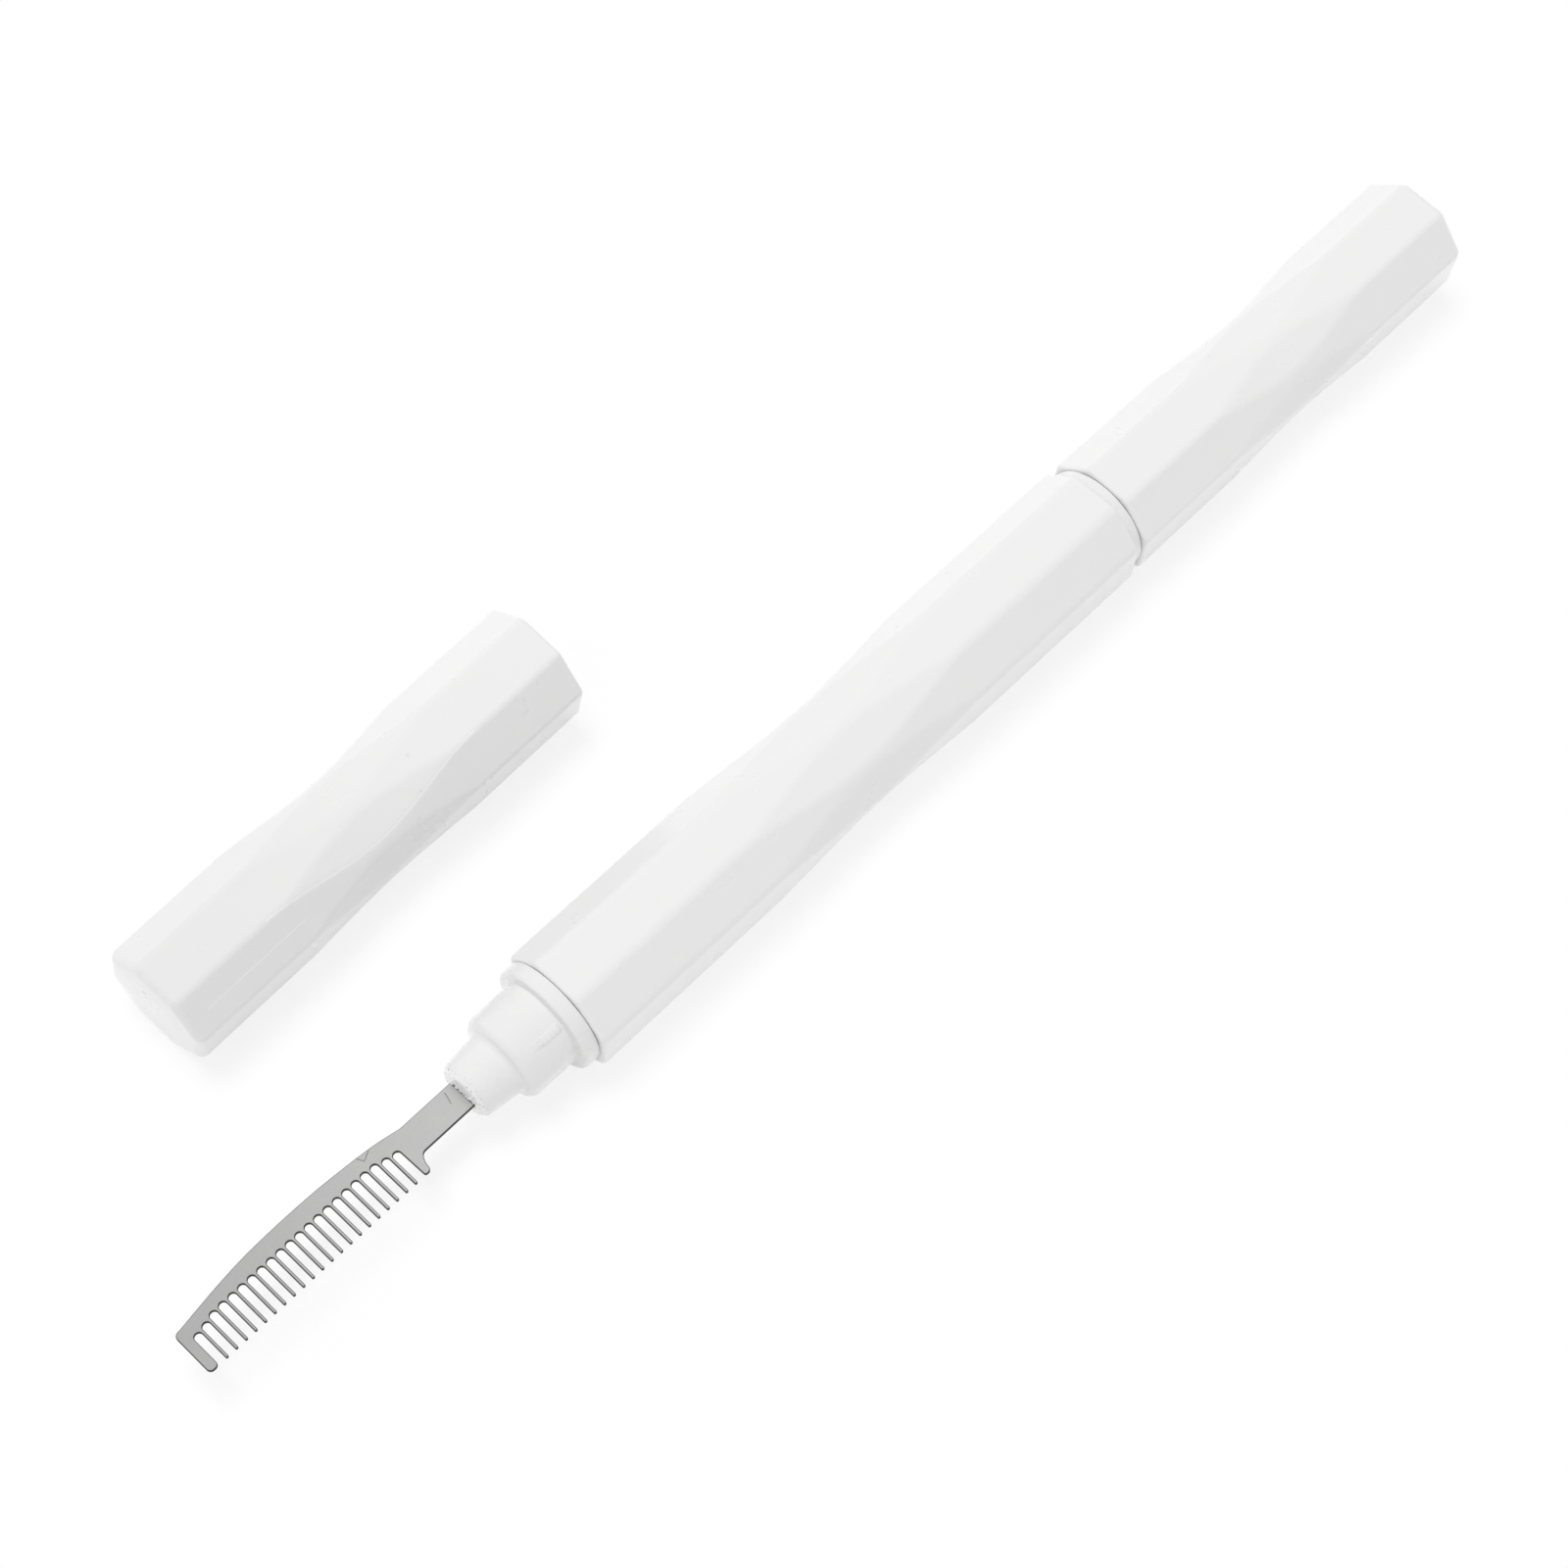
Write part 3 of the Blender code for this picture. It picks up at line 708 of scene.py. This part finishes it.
collarShape = {
    "spigot": (4.2 * mm, -9.0 * mm),
    "spigotRound": 0.5 * mm,
    "flangeBack": 0.03 * mm,
    "flangeFront": 1.5 * mm,
    "flangeRadius": 5.2 * mm,
    "flangeRound": 0.28 * mm,
    "flangeBackRound": 0.08 * mm,
    "neck": 4.13 * mm,
    "neckFillet": 0.12 * mm,
    "shoulder": (6.36 * mm, 6.64 * mm),    # where it starts on the neck and ends on the nose
    "shoulderRound": 0.66 * mm,
    "shoulderFillet": 0.42 * mm,
    "noseBase": 3.06 * mm,
    "noseTip": 2.64 * mm,
    "nose": 10.5 * mm,
    "noseRound": 0.70 * mm,
    "steps": 96,
}
brushCollarShape = {**collarShape, "flangeFront": 1.05 * mm, "flangeRound": 0.1 * mm}
nubShape = {
    "count": 4,
    "lumps": 4,                # each nub is a row of small lumps that run into one another
    "at": 2.8 * mm,
    "long": 1.8 * mm,
    "wide": 1.0 * mm,
    "high": 0.10 * mm,
    "turn": -35,
    "overlap": 0.72,           # half a lump's length, as a share of the distance between two
}
cutterShape = {
    "long": 14 * mm,
    "middle": 8 * mm,
    "slot": (2.9 * mm, 0.5 * mm),
    "hole": 0.62 * mm,
}


def addNubs(bm, nub, neck):
    pitch = nub["long"] / nub["lumps"]
    size = Matrix.Diagonal((pitch * nub["overlap"], nub["wide"] / 2, 1.5 * nub["high"], 1))
    for index in range(nub["count"] * nub["lumps"]):
        side, lump = divmod(index, nub["lumps"])
        made = bmesh.ops.create_uvsphere(bm, u_segments=16, v_segments=10, radius=1)["verts"]
        at = nub["at"] + pitch * (lump - (nub["lumps"] - 1) / 2)
        lift = Matrix.Translation((at, 0, neck - nub["high"] * 0.5))
        spin = turn(nub["turn"] + 360 / nub["count"] * side, "X")
        bmesh.ops.transform(bm, matrix=spin @ lift @ size, verts=made)


def makeCollar(name, node, shape, cutter, place, paint):
    bm = bmesh.new()
    spigotRadius, spigotEnd = shape["spigot"]
    shoulderStart, shoulderEnd = shape["shoulder"]
    back, front, flange = shape["flangeBack"], shape["flangeFront"], shape["flangeRadius"]
    neck, noseBase, noseTip, nose = shape["neck"], shape["noseBase"], shape["noseTip"], shape["nose"]
    profile = [(spigotEnd, 0), (spigotEnd, spigotRadius), (back, spigotRadius), (back, flange),
               (front, flange), (front, neck), (shoulderStart, neck), (shoulderEnd, noseBase),
               (nose, noseTip), (nose, 0)]
    line = [bmesh.ops.create_vert(bm, co=(x, 0, radius))["vert"][0] for x, radius in profile]
    edges = [bmesh.ops.contextual_create(bm, geom=pair)["edges"][0] for pair in zip(line, line[1:])]
    bmesh.ops.spin(bm, geom=line + edges, cent=(0, 0, 0), axis=(1, 0, 0), angle=2 * math.pi,
                   steps=shape["steps"], use_merge=True)
    bmesh.ops.remove_doubles(bm, verts=bm.verts, dist=0.0005 * mm)
    rounds = (
        (spigotEnd, spigotRadius, shape["spigotRound"], 2),
        (back, flange, shape["flangeBackRound"], 3),
        (front, flange, shape["flangeRound"], 4),
        (front, neck, shape["neckFillet"], 2),
        (shoulderStart, neck, shape["shoulderRound"], 9),
        (shoulderEnd, noseBase, shape["shoulderFillet"], 4),
        (nose, noseTip, shape["noseRound"], 6),
    )
    for x, radius, offset, segments in rounds:
        soften(bm, ringEdges(bm, x, radius), offset, segments)
    addNubs(bm, nubShape, neck)
    piece = finishPiece(bm, name, "handle", node, place, paint, sharp=35)
    carve(piece, cutter, place)


def carve(piece, cutter, place):
    # takes the cutter's shape out of the piece's mesh at once, and leaves no modifier or cutter behind
    bmesh.ops.recalc_face_normals(cutter, faces=cutter.faces)
    bmesh.ops.transform(cutter, matrix=place, verts=cutter.verts)
    mesh = bpy.data.meshes.new("cutter")
    cutter.to_mesh(mesh)
    cutter.free()
    tool = bpy.data.objects.new("cutter", mesh)
    scene.collection.objects.link(tool)
    step = piece.modifiers.new("carve", "BOOLEAN")
    step.object = tool
    step.solver = "EXACT"
    step.use_self = True
    piece.modifiers.move(len(piece.modifiers) - 1, 0)
    bpy.context.view_layer.update()
    carved = bpy.data.meshes.new_from_object(piece.evaluated_get(bpy.context.evaluated_depsgraph_get()))
    piece.modifiers.remove(step)
    piece.data = carved
    bpy.data.objects.remove(tool)


def slotCutter(shape):
    bm = bmesh.new()
    bmesh.ops.create_cube(bm, size=1)
    bmesh.ops.scale(bm, vec=(shape["long"], *shape["slot"]), verts=bm.verts)
    bmesh.ops.translate(bm, vec=(shape["middle"], 0, 0), verts=bm.verts)
    return bm


def holeCutter(shape):
    bm = bmesh.new()
    bmesh.ops.create_cone(bm, cap_ends=True, segments=40, radius1=shape["hole"], radius2=shape["hole"],
                          depth=shape["long"])
    along = Matrix.Translation((shape["middle"], 0, 0)) @ turn(90, "Y")
    bmesh.ops.transform(bm, matrix=along, verts=bm.verts)
    return bm


makeCollar("combCollarPlug", "comb_collar", collarShape, slotCutter(cutterShape), combPlace,
           combCollarWhite)
makeCollar("brushCollarPlug", "brush_collar", brushCollarShape, holeCutter(cutterShape), brushPlace,
           brushCollarWhite)


flashShape = {
    "crumbs": 30,
    "seed": 11,
    "size": (0.05 * mm, 0.13 * mm),
    "uneven": (0.8, 1.1),
    "below": 6,                # one crumb in so many is under the comb
    "onFace": 3,               # and one in so many sits up on the nose's face
    "lip": (1.1, 2.1),         # how far off the plate the others sit, in their own sizes
    "face": (0.3 * mm, 1.0 * mm),
    "out": (-0.03 * mm, 0.05 * mm),
    "sunk": 0.3,
    "wide": 1.4 * mm,
    "plate": 0.2 * mm,
}


def makeFlash(shape, place):
    # moulding crumbs on the lips of the slot that holds the comb
    rand = random.Random(shape["seed"])
    bm = bmesh.new()
    for index in range(shape["crumbs"]):
        size = rand.uniform(*shape["size"])
        made = bmesh.ops.create_icosphere(bm, subdivisions=2, radius=size)["verts"]
        for vert in made:
            vert.co *= rand.uniform(*shape["uneven"])
        above = 1 if index % shape["below"] else -1
        if index % shape["onFace"]:
            lift = rand.uniform(*shape["lip"]) * size
            out = rand.uniform(*shape["out"])
        else:
            lift = rand.uniform(*shape["face"])
            out = -size * shape["sunk"]
        across = rand.uniform(-1, 1) * shape["wide"]
        spot = (collarShape["nose"] + out, across, (shape["plate"] + lift) * above)
        spin = turn(rand.uniform(0, 360), "X") @ turn(rand.uniform(0, 360), "Y")
        bmesh.ops.transform(bm, matrix=Matrix.Translation(spot) @ spin, verts=made)
    finishPiece(bm, "slotFlash", "handle", "comb_collar", place, combCollarWhite, sharp=30)


makeFlash(flashShape, combPlace)
print("collars made")


# Comb

combShape = {
    "thick": 0.4 * mm,
    "root": 1.3 * mm,
    "shank": 1.4 * mm,
    "shankEnd": 16.1 * mm,
    "tips": 2.95 * mm,
    "slots": 22,
    "firstSlot": 17.82 * mm,
    "pitch": 1.003 * mm,
    "slotWidth": 0.74 * mm,
    "slotTop": -0.75 * mm,
    "shorter": (0.54 * mm, 0.34 * mm, 0.06 * mm),      # the outer slots end sooner
    "heel": ((17.36, 2.95, 0.2), (16.72, 2.95, 0.3), (16.60, 2.0, 0.4), (16.16, 1.4, 0.25)),
    "endTooth": 0.95 * mm,
    "corner": 0.4 * mm,
    "farCorner": 0.43 * mm,
    "toothRound": 0.11 * mm,
    "lastRound": 0.36 * mm,
    "rootRound": 0.98,         # the slot's root, as a share of half its width
    "spine": ((19.18, -1.92), (24.87, -2.33), (30.79, -2.32), (34.82, -2.0)),
    "spineEnd": -1.3 * mm,
    "spineSteps": 9,
    "edge": 0.06 * mm,
}


def smoothLine(knots, steps):
    # a smooth curve through the knots, without the last one
    line = []
    for index in range(len(knots) - 1):
        before, first, second = knots[max(index - 1, 0)], knots[index], knots[index + 1]
        after = knots[min(index + 2, len(knots) - 1)]
        leave, arrive = (second - before) / 2, (after - first) / 2
        for step in range(steps):
            t = step / steps
            line.append(first * (2 * t ** 3 - 3 * t ** 2 + 1) + leave * (t ** 3 - 2 * t ** 2 + t)
                        + second * (3 * t ** 2 - 2 * t ** 3) + arrive * (t ** 3 - t ** 2))
    return line


def combOutline(shape):
    # points as x, y and the size of the corner's round
    half = shape["slotWidth"] / 2
    last = shape["slots"] - 1
    tipX = shape["firstSlot"] + shape["pitch"] * last + half + shape["endTooth"]
    knots = [Vector((shape["shankEnd"], -shape["shank"]))] + [Vector(knot) * mm for knot in shape["spine"]]
    knots.append(Vector((tipX - shape["corner"], shape["spineEnd"])))
    outline = [(shape["root"], shape["shank"], 0), (shape["root"], -shape["shank"], 0)]
    outline += [(point.x, point.y, 0) for point in smoothLine(knots, shape["spineSteps"])]
    outline.append((tipX, shape["spineEnd"] + 0.02 * mm, shape["corner"]))
    outline.append((tipX, shape["tips"], shape["farCorner"]))
    for index in reversed(range(shape["slots"])):
        middle = shape["firstSlot"] + shape["pitch"] * index
        fromEnd = min(index, last - index)
        top = shape["slotTop"] + (shape["shorter"][fromEnd] if fromEnd < len(shape["shorter"]) else 0)
        outer = shape["lastRound"] if index == last else shape["toothRound"]
        root = half * shape["rootRound"]
        outline += [(middle + half, shape["tips"], outer), (middle + half, top, root),
                    (middle - half, top, root)]
        if index:
            outline.append((middle - half, shape["tips"], shape["toothRound"]))
    return outline + [(x * mm, y * mm, corner * mm) for x, y, corner in shape["heel"]]


def makeComb(shape):
    bm = bmesh.new()
    outline = combOutline(shape)
    line = [bmesh.ops.create_vert(bm, co=(x, y, 0))["vert"][0] for x, y, corner in outline]
    bm.faces.new(line)
    for radius in sorted({corner for x, y, corner in outline if corner}):
        rounded = [vert for vert, point in zip(line, outline) if point[2] == radius]
        segments = 8 if radius > 0.3 * mm else 4
        bmesh.ops.bevel(bm, geom=rounded, offset=radius, offset_type="OFFSET", segments=segments,
                        profile=0.5, affect="VERTICES", material=-1, clamp_overlap=False)
    bmesh.ops.remove_doubles(bm, verts=bm.verts, dist=0.002 * mm)
    plate = next(iter(bm.faces))
    bmesh.ops.translate(bm, vec=(0, 0, -shape["thick"] / 2), verts=bm.verts)
    grown = bmesh.ops.extrude_face_region(bm, geom=[plate])["geom"]
    raised = [item for item in grown if isinstance(item, bmesh.types.BMVert)]
    bmesh.ops.translate(bm, vec=(0, 0, shape["thick"]), verts=raised)
    rims = [edge for edge in bm.edges if abs(edge.verts[0].co.z - edge.verts[1].co.z) < 0.01 * mm]
    soften(bm, rims, shape["edge"], 2)
    finishPiece(bm, "combPlate", "handle", "comb", combPlace, combSteel, sharp=40)


makeComb(combShape)
print("comb made")


# Brush: two wires twisted together, with filaments held between them

brushShape = {
    "wire": 0.28 * mm,
    "wireSides": 10,
    "turn": 3.0 * mm,
    "turnSteps": 16,
    "stem": (1.3 * mm, 16.2 * mm),
    "core": (16.5 * mm, 42.0 * mm),
    "filaments": 1100,         # each reaches out both ways
    "length": 25.0 * mm,
    "radius": 3.4 * mm,
    "tipRadius": 1.7 * mm,
    "swell": 0.12,             # the share of the length over which it grows to its full radius
    "startRadius": 0.8,        # as a share of the full one
    "thick": 0.046 * mm,
    "thin": 0.45,              # a filament's tip, as a share of its foot
    "reach": (0.93, 1.0),
    "lean": 5,
    "swing": 9,
    "seed": 7,
}


def twistedWire(bm, shape, start, end):
    turns = (end - start) / shape["turn"]
    steps = round(turns * shape["turnSteps"])
    for side in (0, 180):
        ring = bmesh.ops.create_circle(bm, cap_ends=True, segments=shape["wireSides"],
                                       radius=shape["wire"])["verts"]
        face = ring[0].link_faces[0]
        sideways = Matrix.Translation((start, 0, shape["wire"])) @ turn(90, "Y")
        bmesh.ops.transform(bm, matrix=turn(side + 360 * start / shape["turn"], "X") @ sideways, verts=ring)
        bmesh.ops.spin(bm, geom=[face], cent=(0, 0, 0), axis=(1, 0, 0), dvec=((end - start) / steps, 0, 0),
                       angle=2 * math.pi * turns, steps=steps, use_duplicate=False)


def makeWire(name, node, shape, span):
    bm = bmesh.new()
    twistedWire(bm, shape, *span)
    finishPiece(bm, name, "handle", node, brushPlace, stemWire, sharp=60)


def brushReach(shape, share):
    # the brush's radius, where share goes from 0 at the stem to 1 at the tip
    swell = shape["swell"]
    if share < swell:
        return shape["radius"] * (shape["startRadius"] + (1 - shape["startRadius"]) * share / swell)
    narrowing = math.cos(math.pi / 2 * (share - swell) / (1 - swell)) ** 0.8
    return shape["tipRadius"] + (shape["radius"] - shape["tipRadius"]) * narrowing


def makeFilaments(shape):
    rand = random.Random(shape["seed"])
    bm = bmesh.new()
    for index in range(shape["filaments"]):
        share = (index + 0.5) / shape["filaments"]
        x = shape["core"][0] + shape["length"] * share
        for side in (90, 270):
            long = brushReach(shape, share) * rand.uniform(*shape["reach"])
            strand = bmesh.ops.create_cone(bm, cap_ends=True, segments=4, radius1=shape["thick"],
                                           radius2=shape["thick"] * shape["thin"], depth=long)["verts"]
            stand = Matrix.Translation((0, 0, long / 2))
            lean = turn(rand.uniform(-shape["lean"], shape["lean"]), "Y")
            twist = side + 360 * x / shape["turn"]
            swing = turn(twist + rand.uniform(-shape["swing"], shape["swing"]), "X")
            foot = Matrix.Translation((x, 0, 0))
            bmesh.ops.transform(bm, matrix=foot @ swing @ lean @ stand, verts=strand)
    finishPiece(bm, "brushFilaments", "handle", "brush_head", brushPlace, brushNylon,
                sharp=60)


makeWire("stemTwist", "brush_stem", brushShape, brushShape["stem"])
makeWire("brushCore", "brush_head", brushShape, brushShape["core"])
makeFilaments(brushShape)
print("brush made")


# Stage: white table, soft light from above and behind the pen

stageLook = {
    "world": 0.55,
    "worldInGloss": 0.80,
    "floorTone": 1.0,
    "floorGlow": 0.78,         # how much of the floor's white the camera sees without shadow
    "floorBounce": 0.30,       # how much brighter the table is in the pieces' gloss
    "lamps": [                 # only the small one leaves highlights, as in the photograph
        {"name": "key", "at": (-0.08, 0.32, 1.56), "size": 0.60, "power": 12.1, "shines": False},
        {"name": "fill", "at": (-0.30, -0.95, 0.08), "size": 0.30, "power": 0.50, "shines": False},
        {"name": "glint", "at": (-0.84, 0.60, 0.60), "size": 0.06, "power": 0.28, "shines": True},
    ],
}


def makeSky(look):
    scene.world = bpy.data.worlds.new("softStudio")
    white = grey(1.0)
    sky = Paint(scene.world)
    sky.feed("Color", white, "Background")
    sky.feed("Strength", look["world"], "Background")
    lit = sky.begun("Background")
    strengths = {"Is Glossy Ray": look["worldInGloss"], "Is Camera Ray": 1.0, "Is Transmission Ray": 1.0}
    for ray, strength in strengths.items():
        seen = sky.node("ShaderNodeBackground", {}, {"Color": white, "Strength": strength})
        chosen = sky.node("ShaderNodeLightPath", {}, {}, ray)
        lit = sky.node("ShaderNodeMixShader", {}, {0: chosen, 1: lit, 2: seen})
    sky.feed("Surface", lit, "World Output")


def makeTable(look):
    floor = newPaint("tableWhite", Roughness=0.9, Specular_IOR_Level=0.1)
    floor.feed("Base Color", grey(look["floorTone"]))
    bounce = floor.node("ShaderNodeLightPath", {}, {}, "Is Glossy Ray")
    floor.feed("Emission Color", floor.colour(bounce, bounce, bounce))
    floor.feed("Emission Strength", look["floorBounce"])
    glow = floor.node("ShaderNodeEmission", {}, {"Color": grey(1.0), "Strength": 1.0})
    seen = floor.node("ShaderNodeLightPath", {}, {}, "Is Camera Ray") * look["floorGlow"]
    floor.feed("Surface", floor.node("ShaderNodeMixShader", {}, {0: seen, 1: floor.begun(), 2: glow}),
               "Material Output")
    bm = bmesh.new()
    bmesh.ops.create_grid(bm, x_segments=4, y_segments=4, size=1.5)
    mesh = bpy.data.meshes.new("table")
    bm.to_mesh(mesh)
    bm.free()
    mesh.materials.append(floor.owner)
    table = bpy.data.objects.new("table", mesh)
    scene.collection.objects.link(table)


def makeLamps(look):
    for lamp in look["lamps"]:
        data = bpy.data.lights.new(lamp["name"], "AREA")
        data.size = lamp["size"]
        data.energy = lamp["power"]
        made = bpy.data.objects.new(lamp["name"], data)
        scene.collection.objects.link(made)
        made.location = lamp["at"]
        made.rotation_euler = Vector(lamp["at"]).to_track_quat("Z", "Y").to_euler()
        made.visible_glossy = lamp["shines"]


makeSky(stageLook)
makeTable(stageLook)
makeLamps(stageLook)
scene.view_settings.view_transform = "Standard"
print("stage set")
